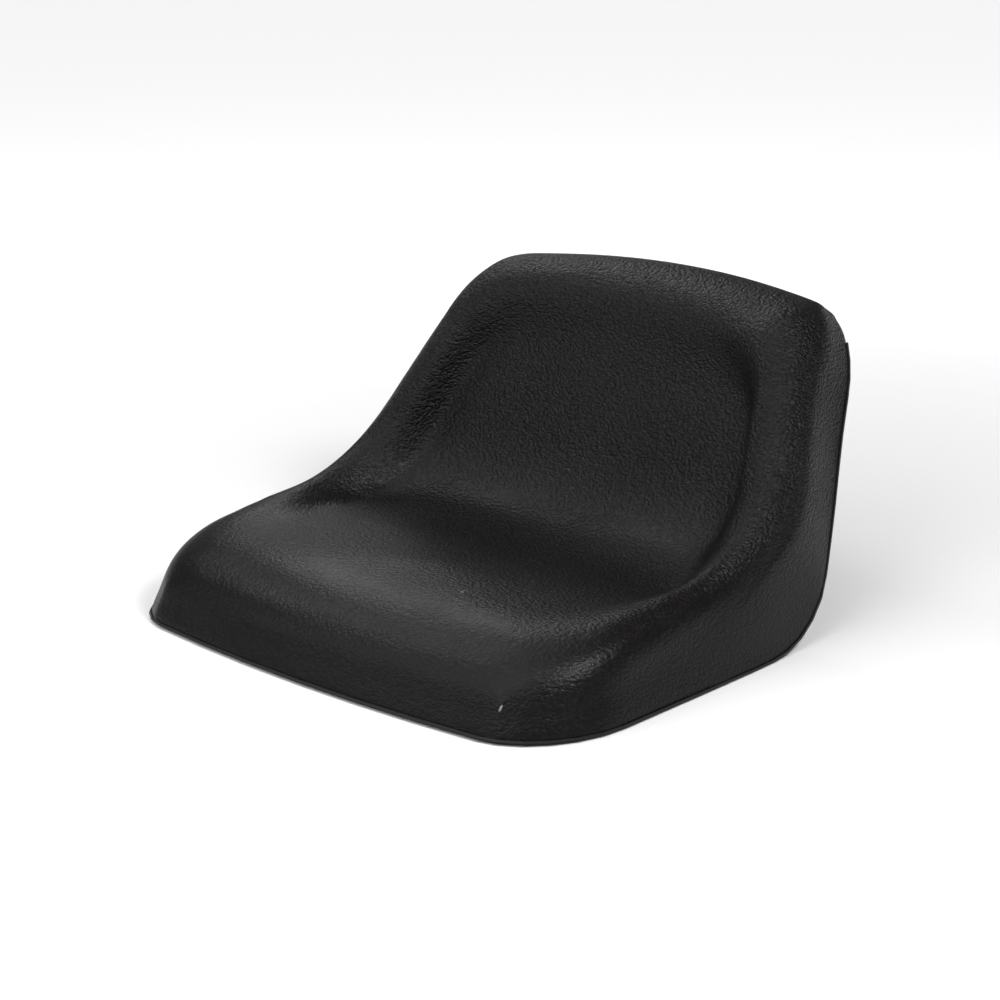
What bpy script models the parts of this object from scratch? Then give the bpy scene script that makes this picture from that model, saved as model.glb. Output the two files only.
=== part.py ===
"""Low-back bucket seat: vinyl cover over a foam pad on a pressed steel pan.

Metres, +Z up, the seat faces -Y. The origin is the middle of the footprint at resting height.
Two side-view rails carry the form: the hem rail follows the edge of the pan, the sitting rail
follows the bottom of the bucket. Ribs join the two rails, and every ring of the seat is a
rounded outline laid on the rails at its own inset and height along the ribs.
"""
import math

import bmesh
import bpy
import numpy as np
from mathutils import Vector

# Plan of the seat, measured on the unrolled sitting rail
HALF_WIDTH = 0.2400
WIDTH_FRACTIONS = (0.0, 0.25, 0.60, 1.0)
WIDTH_CHANGES = (0.0011, 0.0, -0.0074, -0.0510)
FRONT_CORNER_RADIUS = 0.0622
TOP_CORNER_RADIUS = 0.0508
FRONT_POCKET_RADIUS = 0.0980
TOP_POCKET_RADIUS = 0.0600
POCKET_DEPTH = 0.090
FRONT_BOW = 0.0132
TOP_BOW = 0.0178

# Hem rail: flat run, bend, reclined back
HEM_FRONT = -0.2400
HEM_RUN = 0.2756
HEM_BEND = 0.1256
HEM_BACK = 0.2213
HEM_BACK_ANGLE = 61.6

# Sitting rail: the hem rail moved in by the cushion, with a floor that falls to the rear
SEAT_HEIGHT = 0.0687
FRONT_LEAN = 0.0261
FLOOR_CUT_BACK = 0.0811
BEND_LET_OUT = 0.0211
BACK_CUT_BACK = 0.0497
SIT_SLOPE = -2.5
SIT_BACK_ANGLE = 59.9
SIT_DISH = 0.005

# Rim of the cushion from the front centre round to the top centre:
# front, front corner, side, hip, waist, top corner, top
SIDE_FRACTIONS = (0.30, 0.52, 0.72)
CREST_RISE = (-0.0019, 0.0015, 0.0186, 0.0346, 0.0320, 0.0223, 0.0073)
CREST_INSET = (0.0692, 0.0470, 0.0318, 0.0265, 0.0423, 0.0412, 0.0444)
FOOT_INSET = (0.1350, 0.1030, 0.0620, 0.0820, 0.0740, 0.0800, 0.0880)
SHOULDER_INSET = (0.0008, 0.0046, 0.0069, 0.0015, -0.0016, -0.0034, -0.0030)
ROLL_FRACTION = 0.30
ROLL_HEIGHT = (0.0367, 0.0414, 0.0416)

# Sheet thicknesses and the fit between the layers
VINYL = 0.0012
STEEL = 0.0016
FIT_GAP = 0.0003
SKIRT_LENGTH = 0.018
HEM_RETURN = 0.009

# Pressed pan: bosses, beads and drain are placed from the ends of its flat floor
PAN_HEIGHT = 0.024
PAN_FLANGE = 0.012
PAN_INSET = 0.027
PRESS_DRAFT = 0.006
BOSS_DEPTH = 0.012
BOSS_RADIUS = 0.018
BOLT_X = 0.1015
BOLT_FROM_FRONT = 0.0940
BOLT_FROM_BEND = 0.0296
BOLT_HOLE_RADIUS = 0.0045
BEAD_DEPTH = 0.006
BEAD_RADIUS = 0.011
BACK_BEAD_X = 0.075
BACK_BEAD_RISE = 0.110
BACK_BEAD_HALF_LENGTH = 0.050
DRAIN_RADIUS = 0.005
DRAIN_PAST_BEND = 0.010

# Square weld nuts with the corners taken off
NUT_HALF = 0.0075
NUT_CORNER = 0.0092
NUT_HEIGHT = 0.0065
NUT_BORE_RADIUS = 0.0034

# Edge trim: a J strip pushed over the hem from one upper corner round the front to the other
TRIM_WALL = 0.0010
TRIM_OUTER_LEG = 0.0022
TRIM_INNER_LEG = 0.0080

# Mesh counts
CELLS_ACROSS = 12
CELLS_ALONG = 22
CORNER_CELLS = 6
ROLL_RINGS = 5
FLANK_RINGS = 4
PAN_BEND_RINGS = 3
PRESS_SIDES = 20
NUT_SIDES = 12
SHARP_ANGLE = 40.0
LEAST_TURN = 0.0001

# Worked out from the sizes above
SIT_START = (HEM_FRONT + FRONT_LEAN, SEAT_HEIGHT)
SIT_RUN = HEM_RUN - FLOOR_CUT_BACK
SIT_BEND = HEM_BEND + BEND_LET_OUT
SIT_BACK = HEM_BACK - BACK_CUT_BACK
SIT_LENGTH = SIT_RUN + SIT_BEND + SIT_BACK
FLAT_END = HEM_FRONT + HEM_RUN
BOLT_FRONT_Y = HEM_FRONT + BOLT_FROM_FRONT
BOLT_REAR_Y = FLAT_END - BOLT_FROM_BEND
DRAIN_Y = FLAT_END + DRAIN_PAST_BEND
HEM_THICKNESS = 2.0 * VINYL + 3.0 * FIT_GAP + STEEL + TRIM_WALL
HALF_ACROSS = CELLS_ACROSS // 2
HALF_COUNT = CELLS_ACROSS + CELLS_ALONG + 1
FULL_COUNT = 2 * (CELLS_ACROSS + CELLS_ALONG)


def clear_scene():
    """Remove what the default scene holds."""
    for obj in list(bpy.data.objects):
        bpy.data.objects.remove(obj, do_unlink=True)


# Curves
def ease(t):
    """Smooth step from 0 to 1."""
    t = np.clip(t, 0.0, 1.0)
    return t * t * (3.0 - 2.0 * t)


def through(places, values, at):
    """Smooth curve through values that never overshoots them."""
    places = np.asarray(places, float)
    values = np.asarray(values, float)
    at = np.clip(np.asarray(at, float), places[0], places[-1])
    step = np.diff(places)
    slope = np.diff(values) / step
    tangent = np.zeros_like(places)
    for i in range(1, len(places) - 1):
        if slope[i - 1] * slope[i] > 0.0:
            near = 2.0 * step[i] + step[i - 1]
            far = step[i] + 2.0 * step[i - 1]
            tangent[i] = (near + far) / (near / slope[i - 1] + far / slope[i])
    k = np.clip(np.searchsorted(places, at, side="right") - 1, 0, len(step) - 1)
    t = (at - places[k]) / step[k]
    start = (1.0 + 2.0 * t) * (1.0 - t) ** 2 * values[k] + t * (1.0 - t) ** 2 * step[k] * tangent[k]
    end = t * t * (3.0 - 2.0 * t) * values[k + 1] + t * t * (t - 1.0) * step[k] * tangent[k + 1]
    return start + end


class Rail:
    """Side-view curve: a straight run, an eased bend and a straight back, u = 0 to 3."""

    def __init__(self, start, first_angle, last_angle, run, bend, back, samples=240):
        self.first = math.radians(first_angle)
        self.last = math.radians(last_angle)
        self.run = run
        self.back = back
        fraction = np.linspace(0.0, 1.0, samples)
        angle = self.first + (self.last - self.first) * ease(fraction)
        step = bend / (samples - 1)
        mean_y = (np.cos(angle[1:]) + np.cos(angle[:-1])) / 2.0
        mean_z = (np.sin(angle[1:]) + np.sin(angle[:-1])) / 2.0
        self.start = np.array(start)
        self.bend_start = self.start + run * np.array([math.cos(self.first), math.sin(self.first)])
        self.bend_y = self.bend_start[0] + np.concatenate([[0.0], np.cumsum(mean_y * step)])
        self.bend_z = self.bend_start[1] + np.concatenate([[0.0], np.cumsum(mean_z * step)])
        self.fraction = fraction

    def at(self, u):
        """Point (y, z) at u."""
        u = np.asarray(u, float)
        inside = np.clip(u - 1.0, 0.0, 1.0)
        y = np.interp(inside, self.fraction, self.bend_y)
        z = np.interp(inside, self.fraction, self.bend_z)
        before = np.minimum(u - 1.0, 0.0) * self.run
        after = np.maximum(u - 2.0, 0.0) * self.back
        y = y + before * math.cos(self.first) + after * math.cos(self.last)
        z = z + before * math.sin(self.first) + after * math.sin(self.last)
        return np.stack([y, z], -1)

    def normal(self, u):
        """Unit direction square to the rail, towards the sitter."""
        angle = self.first + (self.last - self.first) * ease(np.asarray(u, float) - 1.0)
        return np.stack([-np.sin(angle), np.cos(angle)], -1)


HEM_RAIL = Rail((HEM_FRONT, 0.0), 0.0, HEM_BACK_ANGLE, HEM_RUN, HEM_BEND, HEM_BACK)
SIT_RAIL = Rail(SIT_START, SIT_SLOPE, SIT_BACK_ANGLE, SIT_RUN, SIT_BEND, SIT_BACK)


def around(values):
    """Rim values at every place of the half outline."""
    side = [HALF_ACROSS + CELLS_ALONG * f for f in SIDE_FRACTIONS]
    places = [0.0, HALF_ACROSS] + side + [HALF_ACROSS + CELLS_ALONG, HALF_COUNT - 1.0]
    return through(places, values, np.arange(HALF_COUNT))


def roll_height():
    """Height of the rounded edge at every place of the half outline."""
    middle = HALF_ACROSS + CELLS_ALONG * ROLL_FRACTION
    return through((0.0, middle, HALF_COUNT - 1.0), ROLL_HEIGHT, np.arange(HALF_COUNT))


def double_arc(part, width, drop):
    """Shares of the width and of the drop covered after part of an S made of two equal arcs."""
    full_turn = 2.0 * np.arctan2(drop, width)
    full_turn = np.where(np.abs(full_turn) < LEAST_TURN, LEAST_TURN, full_turn)
    turn = 2.0 * min(part, 1.0 - part) * full_turn
    across = np.sin(turn) / (2.0 * np.sin(full_turn))
    down = (1.0 - np.cos(turn)) / (2.0 * (1.0 - np.cos(full_turn)))
    if part > 0.5:
        return 1.0 - across, 1.0 - down
    return across, down


# Outlines laid on the rails
def half_outline(inset):
    """Distance along and distance across for half an outline, inset by a value at each place."""
    inset = np.broadcast_to(inset, HALF_COUNT)
    along = np.zeros(HALF_COUNT)
    across = np.zeros(HALF_COUNT)
    half_corner = CORNER_CELLS / 2
    for i in range(HALF_COUNT):
        d = inset[i]
        share = min(max(d / POCKET_DEPTH, 0.0), 1.0)
        front = FRONT_CORNER_RADIUS + (FRONT_POCKET_RADIUS - FRONT_CORNER_RADIUS) * share
        top = TOP_CORNER_RADIUS + (TOP_POCKET_RADIUS - TOP_CORNER_RADIUS) * share
        width = HALF_WIDTH - d
        far = SIT_LENGTH - d
        if i <= HALF_ACROSS - half_corner:
            along[i] = d
            across[i] = i / (HALF_ACROSS - half_corner) * (width - front)
        elif i < HALF_ACROSS + half_corner:
            turn = (i - HALF_ACROSS + half_corner) / CORNER_CELLS * math.pi / 2.0
            along[i] = d + front * (1.0 - math.cos(turn))
            across[i] = width - front + front * math.sin(turn)
        elif i <= HALF_ACROSS + CELLS_ALONG - half_corner:
            part = (i - HALF_ACROSS - half_corner) / (CELLS_ALONG - CORNER_CELLS)
            along[i] = d + front + part * (far - top - d - front)
            across[i] = width
        elif i < HALF_ACROSS + CELLS_ALONG + half_corner:
            turn = (i - HALF_ACROSS - CELLS_ALONG + half_corner) / CORNER_CELLS * math.pi / 2.0
            along[i] = far - top + top * math.sin(turn)
            across[i] = width - top + top * math.cos(turn)
        else:
            along[i] = far
            across[i] = (HALF_COUNT - 1 - i) / (HALF_ACROSS - half_corner) * (width - top)
    return along, across


def rail_place(along, across):
    """Place u on the rails and the widened distance across."""
    t = np.clip(along / SIT_LENGTH, 0.0, 1.0)
    x = across * (1.0 + through(WIDTH_FRACTIONS, WIDTH_CHANGES, t) / HALF_WIDTH)
    side = (across / HALF_WIDTH) ** 2
    s = along + FRONT_BOW * side * (1.0 - t) ** 2 - TOP_BOW * side * t ** 2
    bend = 1.0 + (s - SIT_RUN) / SIT_BEND
    back = 2.0 + (s - SIT_RUN - SIT_BEND) / SIT_BACK
    u = np.where(s < SIT_RUN, s / SIT_RUN, np.where(s < SIT_RUN + SIT_BEND, bend, back))
    return u, x


def rib_point(along, across, height):
    """Point in space at a height along the rib; height is a function of the rib length."""
    u, x = rail_place(along, across)
    hem = HEM_RAIL.at(u)
    rib = SIT_RAIL.at(u) - hem
    length = np.linalg.norm(rib, axis=-1)
    yz = hem + rib * (height(length) / length)[..., None]
    return np.stack([x, yz[..., 0], yz[..., 1]], -1)


def pan_point(along, across):
    """Point in space on the pan, a fixed distance inside the hem rail."""
    u, x = rail_place(along, across)
    hem = HEM_RAIL.at(u)
    rib = SIT_RAIL.at(u) - hem
    lean = np.sum(rib * HEM_RAIL.normal(u), axis=-1)
    yz = hem + rib * (PAN_HEIGHT / lean)[..., None]
    return np.stack([x, yz[..., 0], yz[..., 1]], -1)


def whole(half):
    """Full ring from its right half: front centre, right, top, left."""
    left = half[::-1][1:-1].copy()
    left[:, 0] *= -1.0
    return np.concatenate([half, left])


def ring_place(i, j):
    """Place on the full ring of a grid corner that lies on the border."""
    if j == 0:
        k = i - HALF_ACROSS
    elif i == CELLS_ACROSS:
        k = HALF_ACROSS + j
    elif j == CELLS_ALONG:
        k = HALF_ACROSS + CELLS_ALONG + CELLS_ACROSS - i
    else:
        k = -(HALF_ACROSS + j)
    return k % FULL_COUNT


def inner_grid(inset):
    """Distances along and across for the grid that fills an inset outline."""
    along, across = half_outline(inset)
    grid = np.zeros((CELLS_ACROSS + 1, CELLS_ALONG + 1, 2))
    for i in range(CELLS_ACROSS + 1):
        k = abs(i - HALF_ACROSS)
        side = 1.0 if i >= HALF_ACROSS else -1.0
        grid[i, 0] = along[k], side * across[k]
        grid[i, -1] = along[HALF_COUNT - 1 - k], side * across[HALF_COUNT - 1 - k]
    for j in range(CELLS_ALONG + 1):
        grid[-1, j] = along[HALF_ACROSS + j], across[HALF_ACROSS + j]
        grid[0, j] = along[HALF_ACROSS + j], -across[HALF_ACROSS + j]
    a = np.linspace(0.0, 1.0, CELLS_ACROSS + 1)[:, None, None]
    b = np.linspace(0.0, 1.0, CELLS_ALONG + 1)[None, :, None]
    rows = (1.0 - b) * grid[:, :1] + b * grid[:, -1:]
    columns = (1.0 - a) * grid[:1] + a * grid[-1:]
    near = (1.0 - a) * grid[:1, :1] + a * grid[-1:, :1]
    far = (1.0 - a) * grid[:1, -1:] + a * grid[-1:, -1:]
    return rows + columns - (1.0 - b) * near - b * far


def surface(rings, grid):
    """Open surface from rings (outermost first) whose last ring borders the grid."""
    points = np.concatenate(rings + [grid[1:-1, 1:-1].reshape(-1, 3)])
    last = (len(rings) - 1) * FULL_COUNT
    inner = len(rings) * FULL_COUNT

    def number(i, j):
        if i in (0, CELLS_ACROSS) or j in (0, CELLS_ALONG):
            return last + ring_place(i, j)
        return inner + (i - 1) * (CELLS_ALONG - 1) + j - 1

    faces = []
    for k in range(len(rings) - 1):
        for i in range(FULL_COUNT):
            j = (i + 1) % FULL_COUNT
            a = k * FULL_COUNT
            faces.append((a + i, a + j, a + FULL_COUNT + j, a + FULL_COUNT + i))
    for i in range(CELLS_ACROSS):
        for j in range(CELLS_ALONG):
            faces.append((number(i, j), number(i + 1, j), number(i + 1, j + 1), number(i, j + 1)))
    return points, faces


def offset(points, faces, distance):
    """Points moved square to the surface, outwards when the distance is positive."""
    quads = np.array(faces)
    normal = np.cross(points[quads[:, 2]] - points[quads[:, 0]], points[quads[:, 3]] - points[quads[:, 1]])
    normal /= np.linalg.norm(normal, axis=1)[:, None]
    total = np.zeros_like(points)
    count = np.zeros(len(points))
    for corner in range(4):
        np.add.at(total, quads[:, corner], normal)
        np.add.at(count, quads[:, corner], 1.0)
    size = np.linalg.norm(total, axis=1)
    mitre = count / size
    return points + total / size[:, None] * (distance * mitre)[:, None]


def halves(points, faces):
    """Every quad cut along its shorter diagonal, so that layers cut alike stay apart."""
    found = []
    for a, b, c, d in faces:
        first = np.linalg.norm(points[a] - points[c])
        second = np.linalg.norm(points[b] - points[d])
        if first <= second:
            found.extend([(a, b, c), (a, c, d)])
        else:
            found.extend([(a, b, d), (b, c, d)])
    return found


def closed(outer, outer_faces, inner, inner_faces, skip_outer=0, skip_inner=0):
    """One closed body from two surfaces joined along their first kept rings."""
    a = skip_outer * FULL_COUNT
    b = skip_inner * FULL_COUNT
    shift = len(outer)
    top = [f for f in outer_faces if min(f) >= a]
    low = [tuple(shift + v for v in reversed(f)) for f in inner_faces if min(f) >= b]
    edge = []
    for i in range(FULL_COUNT):
        j = (i + 1) % FULL_COUNT
        edge.append((shift + b + i, shift + b + j, a + j))
        edge.append((shift + b + i, a + j, a + i))
    return np.concatenate([outer, inner]), top + low + edge


# Meshes and materials
def plain_material(name, colour, roughness, metallic=0.0):
    """Plain surface of one colour."""
    material = bpy.data.materials.new(name)
    material.use_nodes = True
    shader = material.node_tree.nodes["Principled BSDF"]
    shader.inputs["Base Color"].default_value = (*colour, 1.0)
    shader.inputs["Roughness"].default_value = roughness
    shader.inputs["Metallic"].default_value = metallic
    return material


def add_object(name, points, faces, material):
    """Object from points and faces, loose points dropped, faces turned outwards."""
    mesh = bpy.data.meshes.new(name)
    mesh.from_pydata([tuple(p) for p in points], [], faces)
    work = bmesh.new()
    work.from_mesh(mesh)
    loose = [v for v in work.verts if not v.link_faces]
    bmesh.ops.delete(work, geom=loose, context="VERTS")
    bmesh.ops.recalc_face_normals(work, faces=work.faces)
    work.to_mesh(mesh)
    work.free()
    mesh.shade_smooth()
    mesh.set_sharp_from_angle(angle=math.radians(SHARP_ANGLE))
    mesh.materials.append(material)
    obj = bpy.data.objects.new(name, mesh)
    bpy.context.scene.collection.objects.link(obj)
    return obj


# Edge of the seat: where the hem runs and how it leans
def hem_frames():
    """Hem points with the unit directions up the skirt and into the seat."""
    base = whole(rib_point(*half_outline(0.0), lambda length: length * 0.0))
    shoulder = shoulder_ring()
    up = shoulder - base
    up /= np.linalg.norm(up, axis=1)[:, None]
    tangent = np.roll(base, -1, axis=0) - np.roll(base, 1, axis=0)
    into = np.cross(up, tangent)
    into /= np.linalg.norm(into, axis=1)[:, None]
    lean = HEM_RAIL.normal(rail_place(*half_outline(0.0))[0])
    square = whole(np.concatenate([np.zeros((HALF_COUNT, 1)), lean], axis=1))
    dip = np.maximum(-np.sum(into * square, axis=1), 0.0) * HEM_THICKNESS
    base += up * (dip / np.sum(up * square, axis=1))[:, None]
    return base, up, into


def shoulder_ring():
    """Ring where the skirt meets the rounded edge."""
    rise = around(CREST_RISE) - roll_height()
    return whole(rib_point(*half_outline(around(SHOULDER_INSET)), lambda length: length + rise))


# Cover
def cover_rings():
    """Outer rings of the cover: hem return, skirt, rounded edge, flank of the bucket."""
    base, up, into = hem_frames()
    stack = 2.0 * VINYL + 2.0 * FIT_GAP + STEEL
    bottom = TRIM_WALL + FIT_GAP
    rings = [
        base + into * stack + up * HEM_RETURN,
        base + into * stack + up * bottom,
        base + up * bottom,
        base + up * SKIRT_LENGTH,
        shoulder_ring(),
    ]
    crest = around(CREST_RISE)
    roll = roll_height()
    shoulder = around(SHOULDER_INSET)
    inset = around(CREST_INSET)
    foot = around(FOOT_INSET)
    for k in range(1, ROLL_RINGS + 1):
        turn = k / ROLL_RINGS * math.pi / 2.0
        reach = shoulder + (inset - shoulder) * (1.0 - math.cos(turn))
        lift = crest - roll * (1.0 - math.sin(turn))
        rings.append(whole(rib_point(*half_outline(reach), lambda length: length + lift)))
    for k in range(1, FLANK_RINGS + 1):
        across, down = double_arc(k / FLANK_RINGS, foot - inset, crest)
        reach = inset + (foot - inset) * across
        lift = crest * (1.0 - down)
        rings.append(whole(rib_point(*half_outline(reach), lambda length: length + lift)))
    return rings


def cover_surface():
    """Whole outer surface of the cover with its dished floor."""
    grid = inner_grid(around(FOOT_INSET))
    across = np.linspace(-1.0, 1.0, CELLS_ACROSS + 1)[:, None]
    along = np.linspace(-1.0, 1.0, CELLS_ALONG + 1)[None, :]
    dish = SIT_DISH * (1.0 - across ** 2) * np.sqrt(1.0 - along ** 2)
    floor = rib_point(grid[..., 0], grid[..., 1], lambda length: length - dish)
    return surface(cover_rings(), floor)


def make_cover():
    """Vinyl cover: one thin skin, wrapped round the flange of the pan."""
    points, faces = cover_surface()
    inside = offset(points, faces, -VINYL)
    cut = halves(points, faces)
    body, shell = closed(points, cut, inside, cut)
    material = plain_material("black_vinyl", (0.021, 0.020, 0.021), 0.42)
    return add_object("vinyl_cover", body, shell, material)


# Pan
def pan_surface():
    """Upper surface of the pan: flange, rounded corner, flat floor and back."""
    base, up, into = hem_frames()
    foot = base + into * (VINYL + FIT_GAP)
    border = whole(pan_point(*half_outline(PAN_INSET)))
    flange_foot = foot + up * (TRIM_WALL + VINYL + 3.0 * FIT_GAP)
    flange_top = foot + up * PAN_FLANGE
    rings = [flange_foot, flange_top]
    reach = np.sum((border - flange_top) * up, axis=1)
    corner = flange_top + up * reach[:, None]
    for k in range(1, PAN_BEND_RINGS):
        t = k / PAN_BEND_RINGS
        bend = (1.0 - t) ** 2 * flange_top + 2.0 * t * (1.0 - t) * corner + t * t * border
        rings.append(bend)
    rings.append(border)
    grid = inner_grid(PAN_INSET)
    return surface(rings, pan_point(grid[..., 0], grid[..., 1]))


def pressing(centre, direction, normal, half_length, bottom_radius, top_radius, low, high):
    """Closed drafted pressing, round or elongated, between two levels along the normal."""
    side = Vector(direction).cross(Vector(normal)).normalized()
    points = []
    for radius, level in ((bottom_radius, low), (top_radius, high)):
        for k in range(PRESS_SIDES):
            turn = 2.0 * math.pi * (k + 0.5) / PRESS_SIDES
            shift = half_length if math.cos(turn) >= 0.0 else -half_length
            along = radius * math.cos(turn) + shift
            across = radius * math.sin(turn)
            spot = Vector(centre) + Vector(direction) * along + side * across + Vector(normal) * level
            points.append(spot)
    faces = [tuple(range(PRESS_SIDES - 1, -1, -1)), tuple(range(PRESS_SIDES, 2 * PRESS_SIDES))]
    for k in range(PRESS_SIDES):
        n = (k + 1) % PRESS_SIDES
        faces.append((k, n, PRESS_SIDES + n, PRESS_SIDES + k))
    return points, faces


def pressing_list():
    """Every pressing of the pan: centre, direction, normal, half length, radius, depth."""
    up = (0.0, 0.0, 1.0)
    rear = (0.0, 1.0, 0.0)
    found = []
    for x in (-BOLT_X, BOLT_X):
        for y in (BOLT_FRONT_Y, BOLT_REAR_Y):
            found.append(((x, y, PAN_HEIGHT), rear, up, 0.0, BOSS_RADIUS, BOSS_DEPTH))
    middle = (BOLT_FRONT_Y + BOLT_REAR_Y) / 2.0
    half_length = (BOLT_REAR_Y - BOLT_FRONT_Y) / 2.0
    found.append(((0.0, middle, PAN_HEIGHT), rear, up, half_length, BEAD_RADIUS, BEAD_DEPTH))
    place = 2.0 + BACK_BEAD_RISE / HEM_BACK
    spot = HEM_RAIL.at(place)
    lean = HEM_RAIL.normal(place)
    for x in (-BACK_BEAD_X, BACK_BEAD_X):
        centre = (x, spot[0] + lean[0] * PAN_HEIGHT, spot[1] + lean[1] * PAN_HEIGHT)
        normal = (0.0, lean[0], lean[1])
        along = (0.0, lean[1], -lean[0])
        found.append((centre, along, normal, BACK_BEAD_HALF_LENGTH, BEAD_RADIUS, BEAD_DEPTH))
    return found


def gather(parts):
    """Join several point and face lists into one."""
    points = []
    faces = []
    for part_points, part_faces in parts:
        shift = len(points)
        points.extend(part_points)
        faces.extend(tuple(shift + v for v in f) for f in part_faces)
    return points, faces


def boolean(target, cutter, operation):
    """Exact boolean that leaves the cutter hidden."""
    cutter.hide_render = True
    cutter.display_type = "WIRE"
    modifier = target.modifiers.new(cutter.name, "BOOLEAN")
    modifier.operation = operation
    modifier.solver = "EXACT"
    modifier.object = cutter


def pressed_wall(centre, along, normal, half_length, radius, depth):
    """Outside of a pressing, from its bottom up into the middle of the sheet."""
    slant = PRESS_DRAFT / depth
    low = -STEEL - depth
    high = -STEEL / 2.0
    wide = radius + slant * (high - low)
    return pressing(centre, along, normal, half_length, radius, wide, low, high)


def pressed_pocket(centre, along, normal, half_length, radius, depth):
    """Inside of a pressing, a sheet's thickness in from its outside, open at the top."""
    slant = PRESS_DRAFT / depth
    low_radius = radius + slant * STEEL - STEEL * math.hypot(1.0, slant)
    high_radius = low_radius + slant * (depth + FIT_GAP)
    return pressing(centre, along, normal, half_length, low_radius, high_radius, -depth, FIT_GAP)


def round_hole(x, y, radius, low, high):
    """Upright hole between two heights."""
    return pressing((x, y, 0.0), (0.0, 1.0, 0.0), (0.0, 0.0, 1.0), 0.0, radius, radius, low, high)


def make_pan():
    """Pressed steel pan with its flange, four bosses, three beads and a drain hole."""
    points, faces = pan_surface()
    under = offset(points, faces, -STEEL)
    cut = halves(points, faces)
    body, shell = closed(points, cut, under, cut)
    material = plain_material("black_painted_steel", (0.018, 0.018, 0.019), 0.38)
    pan = add_object("seat_pan", body, shell, material)
    walls = [pressed_wall(*sizes) for sizes in pressing_list()]
    pockets = [pressed_pocket(*sizes) for sizes in pressing_list()]
    holes = [round_hole(0.0, DRAIN_Y, DRAIN_RADIUS, 0.0, PAN_HEIGHT + STEEL)]
    for x in (-BOLT_X, BOLT_X):
        for y in (BOLT_FRONT_Y, BOLT_REAR_Y):
            holes.append(round_hole(x, y, BOLT_HOLE_RADIUS, 0.0, PAN_HEIGHT - STEEL))
    for name, parts, operation in (("pressing_walls", walls, "UNION"),
                                   ("pressing_pockets", pockets, "DIFFERENCE"),
                                   ("pan_holes", holes, "DIFFERENCE")):
        part_points, part_faces = gather(parts)
        boolean(pan, add_object(name, part_points, part_faces, material), operation)
    return pan


# Foam
def make_foam():
    """Foam pad: fills from the pan to the cover, a fit gap clear of both."""
    points, faces = cover_surface()
    top = offset(points, faces, -(VINYL + FIT_GAP))
    pan_points, pan_faces = pan_surface()
    bottom = offset(pan_points, pan_faces, FIT_GAP)
    cut = halves(points, faces)
    pan_cut = halves(pan_points, pan_faces)
    hem_rings = 3
    flange_rings = 2
    body, shell = closed(top, cut, bottom, pan_cut, hem_rings, flange_rings)
    material = plain_material("polyurethane_foam", (0.62, 0.52, 0.30), 0.95)
    return add_object("foam_cushion", body, shell, material)


# Edge trim
def make_trim():
    """J-section strip pushed over the wrapped hem, open at the top of the back."""
    base, up, into = hem_frames()
    outer = -(TRIM_WALL + FIT_GAP)
    slot = HEM_THICKNESS - TRIM_WALL
    profile = [
        (outer, 0.0), (outer, TRIM_OUTER_LEG), (outer + TRIM_WALL, TRIM_OUTER_LEG),
        (outer + TRIM_WALL, TRIM_WALL), (slot, TRIM_WALL), (slot, TRIM_INNER_LEG),
        (slot + TRIM_WALL, TRIM_INNER_LEG), (slot + TRIM_WALL, 0.0),
    ]
    reach = HALF_ACROSS + CELLS_ALONG
    path = [k % FULL_COUNT for k in range(-reach, reach + 1)]
    points = []
    for k in path:
        for inward, height in profile:
            points.append(base[k] + into[k] * inward + up[k] * height)
    count = len(profile)
    faces = [tuple(range(count)), tuple(range(len(points) - 1, len(points) - 1 - count, -1))]
    for k in range(len(path) - 1):
        for i in range(count):
            j = (i + 1) % count
            a = k * count
            faces.append((a + i, a + count + i, a + count + j, a + j))
    material = plain_material("black_trim_plastic", (0.016, 0.016, 0.017), 0.5)
    return add_object("edge_trim", points, faces, material)


# Weld nuts
def nut_ring(x, y, level, bore):
    """One ring of a nut's points: its bore, or its square outside with the corners taken off."""
    points = []
    for k in range(NUT_SIDES):
        turn = 2.0 * math.pi * (k + 0.5) / NUT_SIDES
        square = NUT_HALF / max(abs(math.cos(turn)), abs(math.sin(turn)))
        reach = NUT_BORE_RADIUS if bore else min(square, NUT_CORNER)
        points.append((x + reach * math.cos(turn), y + reach * math.sin(turn), level))
    return points


def make_nut(name, x, y, material):
    """Square nut with its bore, standing in a boss of the pan."""
    low = PAN_HEIGHT - BOSS_DEPTH + FIT_GAP
    points = []
    for level in (low, low + NUT_HEIGHT):
        for bore in (False, True):
            points.extend(nut_ring(x, y, level, bore))
    n = NUT_SIDES
    faces = []
    for k in range(n):
        m = (k + 1) % n
        faces.append((m, k, n + k, n + m))
        faces.append((2 * n + k, 2 * n + m, 3 * n + m, 3 * n + k))
        faces.append((k, m, 2 * n + m, 2 * n + k))
        faces.append((n + m, n + k, 3 * n + k, 3 * n + m))
    return add_object(name, points, faces, material)


def make_nuts():
    """Four weld nuts, one in each boss."""
    material = plain_material("zinc_plated_steel", (0.55, 0.54, 0.50), 0.35, 1.0)
    for side, x in (("left", -BOLT_X), ("right", BOLT_X)):
        for end, y in (("front", BOLT_FRONT_Y), ("rear", BOLT_REAR_Y)):
            make_nut("weld_nut_" + end + "_" + side, x, y, material)


clear_scene()
make_cover()
make_foam()
make_pan()
make_trim()
make_nuts()
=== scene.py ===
import math

import bpy
import numpy as np
from mathutils import Matrix, Vector


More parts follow.
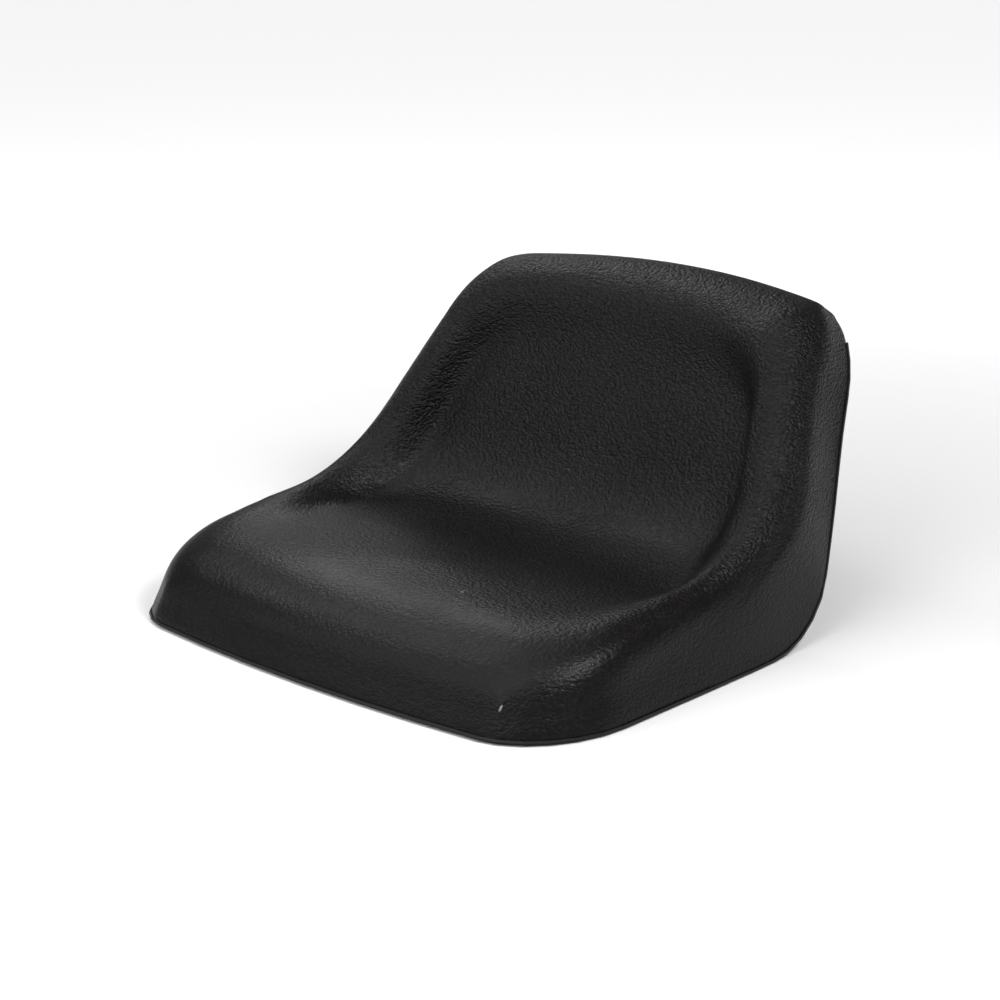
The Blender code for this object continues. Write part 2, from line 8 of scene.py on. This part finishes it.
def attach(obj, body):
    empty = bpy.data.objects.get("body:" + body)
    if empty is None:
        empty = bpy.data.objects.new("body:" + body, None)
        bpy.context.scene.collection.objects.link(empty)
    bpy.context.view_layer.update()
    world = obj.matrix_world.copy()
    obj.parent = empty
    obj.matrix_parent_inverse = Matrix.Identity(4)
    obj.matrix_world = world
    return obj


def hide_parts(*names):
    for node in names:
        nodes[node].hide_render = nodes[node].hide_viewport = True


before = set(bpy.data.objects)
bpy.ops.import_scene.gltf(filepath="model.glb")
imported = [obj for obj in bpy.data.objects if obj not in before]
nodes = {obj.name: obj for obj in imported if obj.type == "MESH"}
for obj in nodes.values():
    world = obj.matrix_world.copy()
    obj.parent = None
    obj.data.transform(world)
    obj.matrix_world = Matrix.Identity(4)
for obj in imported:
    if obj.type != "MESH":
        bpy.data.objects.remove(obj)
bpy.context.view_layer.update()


# Seat pan
# Pressed from 1.6 mm sheet steel and painted satin black. The cushion is laid in it and the
# cover is drawn round its flange, so only its underside and the back of the backrest show.
PAINT_DARK = (0.010, 0.010, 0.011, 1.0)
PAINT_WORN = (0.020, 0.020, 0.021, 1.0)


def new_material(name):
    """An empty node material with its shader and output, the colour still to be set."""
    material = bpy.data.materials.new(name)
    material.use_nodes = True
    tree = material.node_tree
    return material, tree, tree.nodes["Principled BSDF"]


def add_node(tree, kind, **settings):
    """A shader node with its properties and sockets set by name."""
    node = tree.nodes.new(kind)
    for key, value in settings.items():
        if hasattr(node, key):
            setattr(node, key, value)
        else:
            node.inputs[key.replace("_", " ")].default_value = value
    return node


def wear_paint():
    """Satin black stoving paint with a faint orange peel and duller patches."""
    material, tree, shader = new_material("satin_black_paint")
    place = add_node(tree, "ShaderNodeTexCoord")
    patches = add_node(tree, "ShaderNodeTexNoise", Scale=14.0, Detail=4.0)
    peel = add_node(tree, "ShaderNodeTexNoise", Scale=420.0, Detail=2.0)
    tree.links.new(place.outputs["Object"], patches.inputs["Vector"])
    tree.links.new(place.outputs["Object"], peel.inputs["Vector"])
    tint = add_node(tree, "ShaderNodeValToRGB")
    tint.color_ramp.elements[0].color = PAINT_DARK
    tint.color_ramp.elements[1].color = PAINT_WORN
    tree.links.new(patches.outputs["Fac"], tint.inputs["Fac"])
    tree.links.new(tint.outputs["Color"], shader.inputs["Base Color"])
    dull = add_node(tree, "ShaderNodeMapRange", To_Min=0.30, To_Max=0.46)
    tree.links.new(patches.outputs["Fac"], dull.inputs["Value"])
    tree.links.new(dull.outputs["Result"], shader.inputs["Roughness"])
    bump = add_node(tree, "ShaderNodeBump", Strength=0.10, Distance=0.0004)
    tree.links.new(peel.outputs["Fac"], bump.inputs["Height"])
    tree.links.new(bump.outputs["Normal"], shader.inputs["Normal"])
    return material


def dress(node, material):
    """A CAD node keeps its shape and takes a material."""
    obj = nodes[node]
    obj.data.materials.clear()
    obj.data.materials.append(material)
    return obj


dress("seat_pan", wear_paint())

# Weld nuts
# Four square steel nuts, zinc plated, projection-welded in the bosses of the pan.
ZINC = (0.62, 0.60, 0.55, 1.0)


def zinc_plate():
    """Bright zinc with a soft mottled bloom."""
    material, tree, shader = new_material("zinc_plate")
    place = add_node(tree, "ShaderNodeTexCoord")
    bloom = add_node(tree, "ShaderNodeTexNoise", Scale=260.0, Detail=3.0)
    tree.links.new(place.outputs["Object"], bloom.inputs["Vector"])
    shader.inputs["Base Color"].default_value = ZINC
    shader.inputs["Metallic"].default_value = 1.0
    rough = add_node(tree, "ShaderNodeMapRange", To_Min=0.28, To_Max=0.50)
    tree.links.new(bloom.outputs["Fac"], rough.inputs["Value"])
    tree.links.new(rough.outputs["Result"], shader.inputs["Roughness"])
    return material


plate = zinc_plate()
for end in ("front", "rear"):
    for side in ("left", "right"):
        dress("weld_nut_" + end + "_" + side, plate)

# Foam cushion
# Moulded polyurethane foam, cream coloured, shut in between the pan and the cover. It shows
# only through the drain hole of the pan.
FOAM = (0.60, 0.50, 0.30, 1.0)
MERGE = 0.00002
FAIRING_ROUNDS = 3
FOLD_COSINE = 0.80
EASING_ROUNDS = 10
HELD_RINGS = 2
EASING_STEPS = (0.50, -0.52)
QUAD_ANGLE = math.radians(60)
FOAM_LEVELS = 1


def foam_skin():
    """Open-cell foam: matt, with a fine cell pattern."""
    material, tree, shader = new_material("cream_foam")
    place = add_node(tree, "ShaderNodeTexCoord")
    cells = add_node(tree, "ShaderNodeTexVoronoi", Scale=900.0)
    tree.links.new(place.outputs["Object"], cells.inputs["Vector"])
    shader.inputs["Base Color"].default_value = FOAM
    shader.inputs["Roughness"].default_value = 0.95
    bump = add_node(tree, "ShaderNodeBump", Strength=0.5, Distance=0.0006)
    tree.links.new(cells.outputs["Distance"], bump.inputs["Height"])
    tree.links.new(bump.outputs["Normal"], shader.inputs["Normal"])
    return material


def vertex_places(mesh):
    """Every vertex of a mesh, one row each."""
    places = np.empty(len(mesh.vertices) * 3)
    mesh.vertices.foreach_get("co", places)
    return places.reshape(-1, 3)


def folded_corners(mesh):
    """True at every vertex on a fold or a cut edge of a closed mesh."""
    edges = np.empty(len(mesh.edges) * 2, dtype=np.int64)
    mesh.edges.foreach_get("vertices", edges)
    normals = np.empty(len(mesh.polygons) * 3)
    mesh.polygons.foreach_get("normal", normals)
    normals = normals.reshape(-1, 3)
    sizes = np.empty(len(mesh.polygons), dtype=np.int64)
    mesh.polygons.foreach_get("loop_total", sizes)
    loop_edges = np.empty(len(mesh.loops), dtype=np.int64)
    mesh.loops.foreach_get("edge_index", loop_edges)
    faces = np.repeat(np.arange(len(sizes)), sizes)
    pairs = faces[np.argsort(loop_edges, kind="stable")].reshape(-1, 2)
    likeness = (normals[pairs[:, 0]] * normals[pairs[:, 1]]).sum(axis=1)
    folded = np.zeros(len(mesh.vertices), dtype=bool)
    folded[edges.reshape(-1, 2)[likeness < FOLD_COSINE].ravel()] = True
    return folded


def ease(mesh):
    """Even out small steps of curvature between the folds, without shrinking the form."""
    edges = np.empty(len(mesh.edges) * 2, dtype=np.int64)
    mesh.edges.foreach_get("vertices", edges)
    first, second = edges.reshape(-1, 2).T
    count = np.bincount(edges, minlength=len(mesh.vertices))[:, None]
    held = folded_corners(mesh)
    for _ in range(HELD_RINGS):
        beside = held[first] | held[second]
        held[first[beside]] = True
        held[second[beside]] = True
    free = ~held[:, None]
    places = vertex_places(mesh)
    for step in EASING_STEPS * EASING_ROUNDS:
        total = np.zeros_like(places)
        np.add.at(total, first, places[second])
        np.add.at(total, second, places[first])
        places += step * free * (total / count - places)
    mesh.vertices.foreach_set("co", places.ravel())
    mesh.update()


def faired_copy(node, name, levels):
    """A CAD node's mesh merged, turned back into quads and subdivided through its own corners."""
    obj = bpy.data.objects.new(name, nodes[node].data.copy())
    bpy.context.scene.collection.objects.link(obj)
    bpy.ops.object.select_all(action="DESELECT")
    bpy.context.view_layer.objects.active = obj
    obj.select_set(True)
    bpy.ops.object.mode_set(mode="EDIT")
    bpy.ops.mesh.select_all(action="SELECT")
    bpy.ops.mesh.remove_doubles(threshold=MERGE)
    bpy.ops.mesh.tris_convert_to_quads(face_threshold=QUAD_ANGLE, shape_threshold=QUAD_ANGLE)
    bpy.ops.object.mode_set(mode="OBJECT")
    ease(obj.data)
    fairing = obj.modifiers.new("fairing", "SUBSURF")
    fairing.levels = levels
    fairing.render_levels = levels
    goal = vertex_places(obj.data)
    cage = goal.copy()
    for _ in range(FAIRING_ROUNDS):
        depsgraph = bpy.context.evaluated_depsgraph_get()
        drawn = vertex_places(obj.evaluated_get(depsgraph).data)[:len(goal)]
        cage += goal - drawn
        obj.data.vertices.foreach_set("co", cage.ravel())
        obj.data.update()
    bpy.ops.object.modifier_apply(modifier=fairing.name)
    bpy.ops.object.shade_smooth()
    return obj


foam_pad = faired_copy("foam_cushion", "foam_pad", FOAM_LEVELS)
foam_pad.data.materials.clear()
foam_pad.data.materials.append(foam_skin())
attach(foam_pad, "root")
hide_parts("foam_cushion")

# Vinyl cover
# One sheet of black PVC leathercloth with a fine embossed grain, vacuum-formed over the foam
# and drawn tight, so it has no seams. Its edge is wrapped round the flange of the pan.
VINYL = (0.0078, 0.0066, 0.0074, 1.0)
# painted shade: the colour given to the hollows of the grain, darker than the vinyl
GRAIN_HOLLOW_SHADE = (0.0032, 0.0026, 0.0031, 1.0)
SCUFFED = (0.22, 0.20, 0.19, 1.0)
COVER_LEVELS = 2
# the grain: how far it is drawn sideways, bent, raised, and between which heights it deepens
GRAIN_STRETCH = (1.0, 1.0, 1.5)
GRAIN_SHIFT = (0.0045, 0.0045, 0.0045)
GRAIN_RISE = 0.0012
FLAT_BELOW = 0.06
DEEP_ABOVE = 0.13
# start, end and width of the two marks
NICK = ((0.1899, -0.2145, 0.0276), (0.1890, -0.2169, 0.0226), 0.0018)
SPECK = ((0.0690, -0.1308, 0.0649), (0.0710, -0.1290, 0.0649), 0.0022)


def scratch_mark(tree, place, start, end, width):
    """One inside a short scratch from start to end, nought outside it."""
    run = Vector(end) - Vector(start)
    local = add_node(tree, "ShaderNodeMapping", vector_type="TEXTURE")
    local.inputs["Location"].default_value = (Vector(start) + Vector(end)) / 2.0
    local.inputs["Rotation"].default_value = run.to_track_quat("X", "Z").to_euler()
    local.inputs["Scale"].default_value = (run.length / 2.0, width / 2.0, width / 2.0)
    tree.links.new(place, local.inputs["Vector"])
    away = add_node(tree, "ShaderNodeVectorMath", operation="LENGTH")
    tree.links.new(local.outputs["Vector"], away.inputs[0])
    inside = add_node(tree, "ShaderNodeMapRange", To_Min=1.0, To_Max=0.0)
    inside.inputs["From Min"].default_value = 0.7
    inside.inputs["From Max"].default_value = 1.2
    tree.links.new(away.outputs["Value"], inside.inputs["Value"])
    return inside.outputs["Result"]


def leathercloth():
    """Black PVC leathercloth: crinkled grain drawn out sideways, painted shade in its hollows,
    duller and shinier patches.
    """
    material, tree, shader = new_material("black_leathercloth")
    link = tree.links.new
    place = add_node(tree, "ShaderNodeTexCoord")
    shader.inputs["Specular IOR Level"].default_value = 0.15
    # crinkles, wider than they are tall
    drawn = add_node(tree, "ShaderNodeMapping")
    drawn.inputs["Scale"].default_value = GRAIN_STRETCH
    link(place.outputs["Object"], drawn.inputs["Vector"])
    warp = add_node(tree, "ShaderNodeTexNoise", Scale=140.0, Detail=2.0)
    link(drawn.outputs["Vector"], warp.inputs["Vector"])
    shift = add_node(tree, "ShaderNodeVectorMath", operation="MULTIPLY_ADD")
    shift.inputs[1].default_value = GRAIN_SHIFT
    link(warp.outputs["Color"], shift.inputs[0])
    link(drawn.outputs["Vector"], shift.inputs[2])
    pebble = add_node(tree, "ShaderNodeTexVoronoi", Scale=330.0)
    link(shift.outputs["Vector"], pebble.inputs["Vector"])
    crease = add_node(tree, "ShaderNodeTexNoise", Scale=290.0, Detail=3.0, Roughness=0.6)
    link(shift.outputs["Vector"], crease.inputs["Vector"])
    grain = add_node(tree, "ShaderNodeMath", operation="SUBTRACT")
    link(crease.outputs["Fac"], grain.inputs[0])
    link(pebble.outputs["Distance"], grain.inputs[1])
    # the grain is worn and drawn flatter on the seat and the front than on the backrest
    patch = add_node(tree, "ShaderNodeTexNoise", Scale=11.0, Detail=2.0)
    link(place.outputs["Object"], patch.inputs["Vector"])
    split = add_node(tree, "ShaderNodeSeparateXYZ")
    link(place.outputs["Object"], split.inputs["Vector"])
    raised = add_node(tree, "ShaderNodeMapRange", To_Min=0.02, To_Max=0.75)
    raised.inputs["From Min"].default_value = FLAT_BELOW
    raised.inputs["From Max"].default_value = DEEP_ABOVE
    link(split.outputs["Z"], raised.inputs["Value"])
    depth = add_node(tree, "ShaderNodeMath", operation="MULTIPLY_ADD")
    depth.inputs[1].default_value = 0.5
    link(patch.outputs["Fac"], depth.inputs[0])
    link(raised.outputs["Result"], depth.inputs[2])
    bump = add_node(tree, "ShaderNodeBump", Distance=GRAIN_RISE)
    link(grain.outputs["Value"], bump.inputs["Height"])
    link(depth.outputs["Value"], bump.inputs["Strength"])
    link(bump.outputs["Normal"], shader.inputs["Normal"])
    # the grain's hollows are painted darker than its tops, as painted shade in the grain
    tint = add_node(tree, "ShaderNodeValToRGB")
    tint.color_ramp.elements[0].position = 0.05
    tint.color_ramp.elements[0].color = GRAIN_HOLLOW_SHADE
    tint.color_ramp.elements[1].position = 0.45
    tint.color_ramp.elements[1].color = VINYL
    link(grain.outputs["Value"], tint.inputs["Fac"])
    # a nick low on the front by the right corner and a speck on the seat
    nick = scratch_mark(tree, place.outputs["Object"], *NICK)
    speck = scratch_mark(tree, place.outputs["Object"], *SPECK)
    marks = add_node(tree, "ShaderNodeMath", operation="MAXIMUM")
    link(nick, marks.inputs[0])
    link(speck, marks.inputs[1])
    marked = add_node(tree, "ShaderNodeMix", data_type="RGBA")
    link(marks.outputs["Value"], marked.inputs["Factor"])
    link(tint.outputs["Color"], marked.inputs[6])
    marked.inputs[7].default_value = SCUFFED
    link(marked.outputs[2], shader.inputs["Base Color"])
    rough = add_node(tree, "ShaderNodeMapRange", To_Min=0.32, To_Max=0.44)
    link(patch.outputs["Fac"], rough.inputs["Value"])
    link(rough.outputs["Result"], shader.inputs["Roughness"])
    return material


cover = faired_copy("vinyl_cover", "leathercloth_cover", COVER_LEVELS)
cover.data.materials.clear()
cover.data.materials.append(leathercloth())
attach(cover, "root")
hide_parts("vinyl_cover")

# Edge trim
# Extruded black PVC strip of J section, pushed over the wrapped hem by hand. It clips the cover
# to the flange of the pan and keeps its cut edge from fraying.
STRIP = (0.006, 0.006, 0.006, 1.0)


def strip_plastic():
    """Matt black extruded plastic."""
    material, tree, shader = new_material("black_strip_plastic")
    place = add_node(tree, "ShaderNodeTexCoord")
    haze = add_node(tree, "ShaderNodeTexNoise", Scale=90.0, Detail=3.0)
    link = tree.links.new
    link(place.outputs["Object"], haze.inputs["Vector"])
    shader.inputs["Base Color"].default_value = STRIP
    shader.inputs["Specular IOR Level"].default_value = 0.3
    rough = add_node(tree, "ShaderNodeMapRange", To_Min=0.42, To_Max=0.58)
    link(haze.outputs["Fac"], rough.inputs["Value"])
    link(rough.outputs["Result"], shader.inputs["Roughness"])
    return material


dress("edge_trim", strip_plastic())

# Studio
# A wide plain floor that keeps the soft shadow of the seat, white out to the horizon, and
# eight plain soft lights with a dim ceiling between them.
FLOOR_HALF = 6.0
FLOOR_COLOUR = (0.72, 0.72, 0.72, 1.0)
FLOOR_DROP = 0.0002
WHITE = (1.0, 1.0, 1.0, 1.0)
# the floor's own glow: where it starts and ends, in metres from the seat, and how strong it is
GLOW_NEAR = 0.3
GLOW_FAR = 2.0
GLOW_LEAST = 0.02
GLOW_MOST = 0.80
CEILING = 0.15
HORIZON = 0.02
LIGHT_DISTANCE = 1.8
LIGHT_TARGET = Vector((0.0, 0.0, 0.15))
# azimuth from the front towards the right and elevation in degrees, side in metres, watts
SOFT_LIGHTS = {
    "front_softbox": (14.0, 32.0, 0.8, 10.0),
    "high_front_softbox": (355.0, 60.0, 0.7, 6.0),
    "corner_softbox": (45.0, 66.0, 0.6, 4.0),
    "right_softbox": (84.0, 45.0, 0.5, 26.0),
    "top_softbox": (250.0, 75.0, 0.8, 4.5),
    "rear_softbox": (232.0, 32.0, 0.6, 4.0),
    "left_rear_softbox": (278.0, 50.0, 0.5, 6.0),
    "left_softbox": (328.0, 30.0, 1.2, 10.0),
}
bpy.ops.object.select_all(action="DESELECT")
bpy.ops.mesh.primitive_plane_add(size=2.0 * FLOOR_HALF, location=(0.0, 0.0, -FLOOR_DROP))
floor = bpy.context.object
floor.name = "studio_floor"
white, tree, shader = new_material("white_floor")
shader.inputs["Base Color"].default_value = FLOOR_COLOUR
shader.inputs["Roughness"].default_value = 0.9
shader.inputs["Specular IOR Level"].default_value = 0.0
shader.inputs["Emission Color"].default_value = WHITE


def seen_directly(tree):
    """One for camera rays, one for gloss and clear rays, and the larger of the two."""
    path = add_node(tree, "ShaderNodeLightPath")
    mirrored = add_node(tree, "ShaderNodeMath", operation="MAXIMUM")
    tree.links.new(path.outputs["Is Glossy Ray"], mirrored.inputs[0])
    tree.links.new(path.outputs["Is Transmission Ray"], mirrored.inputs[1])
    seen = add_node(tree, "ShaderNodeMath", operation="MAXIMUM")
    tree.links.new(path.outputs["Is Camera Ray"], seen.inputs[0])
    tree.links.new(mirrored.outputs["Value"], seen.inputs[1])
    return path.outputs["Is Camera Ray"], mirrored.outputs["Value"], seen.outputs["Value"]


seen = seen_directly(tree)[2]
place = add_node(tree, "ShaderNodeTexCoord")
far = add_node(tree, "ShaderNodeVectorMath", operation="LENGTH")
tree.links.new(place.outputs["Object"], far.inputs[0])
fade = add_node(tree, "ShaderNodeMapRange", interpolation_type="SMOOTHSTEP")
fade.inputs["From Min"].default_value = GLOW_NEAR
fade.inputs["From Max"].default_value = GLOW_FAR
fade.inputs["To Min"].default_value = GLOW_LEAST
fade.inputs["To Max"].default_value = GLOW_MOST
tree.links.new(far.outputs["Value"], fade.inputs["Value"])
glow = add_node(tree, "ShaderNodeMath", operation="MULTIPLY")
tree.links.new(seen, glow.inputs[0])
tree.links.new(fade.outputs["Result"], glow.inputs[1])
tree.links.new(glow.outputs["Value"], shader.inputs["Emission Strength"])
floor.data.materials.append(white)

world = bpy.data.worlds.new("studio_surround")
world.use_nodes = True
tree = world.node_tree
camera_ray, mirrored, _ = seen_directly(tree)
place = add_node(tree, "ShaderNodeTexCoord")
split = add_node(tree, "ShaderNodeSeparateXYZ")
tree.links.new(place.outputs["Generated"], split.inputs["Vector"])
low = add_node(tree, "ShaderNodeMapRange", interpolation_type="SMOOTHSTEP")
low.inputs["From Min"].default_value = -HORIZON
low.inputs["From Max"].default_value = HORIZON
low.inputs["To Min"].default_value = 1.0
low.inputs["To Max"].default_value = 0.0
tree.links.new(split.outputs["Z"], low.inputs["Value"])
backdrop = add_node(tree, "ShaderNodeMath", operation="MULTIPLY")
tree.links.new(mirrored, backdrop.inputs[0])
tree.links.new(low.outputs["Result"], backdrop.inputs[1])
white_share = add_node(tree, "ShaderNodeMath", operation="MAXIMUM")
tree.links.new(camera_ray, white_share.inputs[0])
tree.links.new(backdrop.outputs["Value"], white_share.inputs[1])
level = add_node(tree, "ShaderNodeMapRange", To_Min=CEILING, To_Max=1.0)
tree.links.new(white_share.outputs["Value"], level.inputs["Value"])
tree.links.new(level.outputs["Result"], tree.nodes["Background"].inputs["Strength"])
tree.nodes["Background"].inputs["Color"].default_value = WHITE
bpy.context.scene.world = world


def soft_light(name, place, target, side, power):
    """A square soft light at a place, turned to a target."""
    lamp = bpy.data.lights.new(name, "AREA")
    lamp.shape = "SQUARE"
    lamp.size = side
    lamp.energy = power
    obj = bpy.data.objects.new(name, lamp)
    obj.location = place
    obj.rotation_euler = (target - place).to_track_quat("-Z", "Y").to_euler()
    bpy.context.scene.collection.objects.link(obj)


def direction(azimuth, elevation):
    """Unit vector from the seat, azimuth in degrees from the front towards the right."""
    turn = math.radians(azimuth)
    rise = math.radians(elevation)
    level = math.cos(rise)
    return Vector((math.sin(turn) * level, -math.cos(turn) * level, math.sin(rise)))


for name, (azimuth, elevation, side, power) in SOFT_LIGHTS.items():
    place = LIGHT_TARGET + direction(azimuth, elevation) * LIGHT_DISTANCE
    soft_light(name, place, LIGHT_TARGET, side, power)

# Camera
# The photograph's view: from the front right corner, a little above the seat.
AZIMUTH = 43.244
ELEVATION = 15.626
DISTANCE = 1.9306
TARGET = (0.0, -0.050, 0.140)
PIXELS_PER_METRE = 1233.0
TARGET_PIXEL = (466.8, 462.0)
IMAGE = 1000.0
SENSOR = 36.0
back = direction(AZIMUTH, ELEVATION)
right = Vector((0.0, 0.0, 1.0)).cross(back).normalized()
up = back.cross(right)
lens = bpy.data.cameras.new("photo_camera")
lens.sensor_width = SENSOR
lens.lens = PIXELS_PER_METRE * DISTANCE / IMAGE * SENSOR
lens.shift_x = 0.5 - TARGET_PIXEL[0] / IMAGE
lens.shift_y = TARGET_PIXEL[1] / IMAGE - 0.5
camera = bpy.data.objects.new("photo_camera", lens)
spot = Vector(TARGET) + back * DISTANCE
turned = Matrix((right, up, back)).transposed().to_4x4()
camera.matrix_world = Matrix.Translation(spot) @ turned
bpy.context.scene.collection.objects.link(camera)
bpy.context.scene.camera = camera
bpy.context.scene.view_settings.view_transform = "Standard"
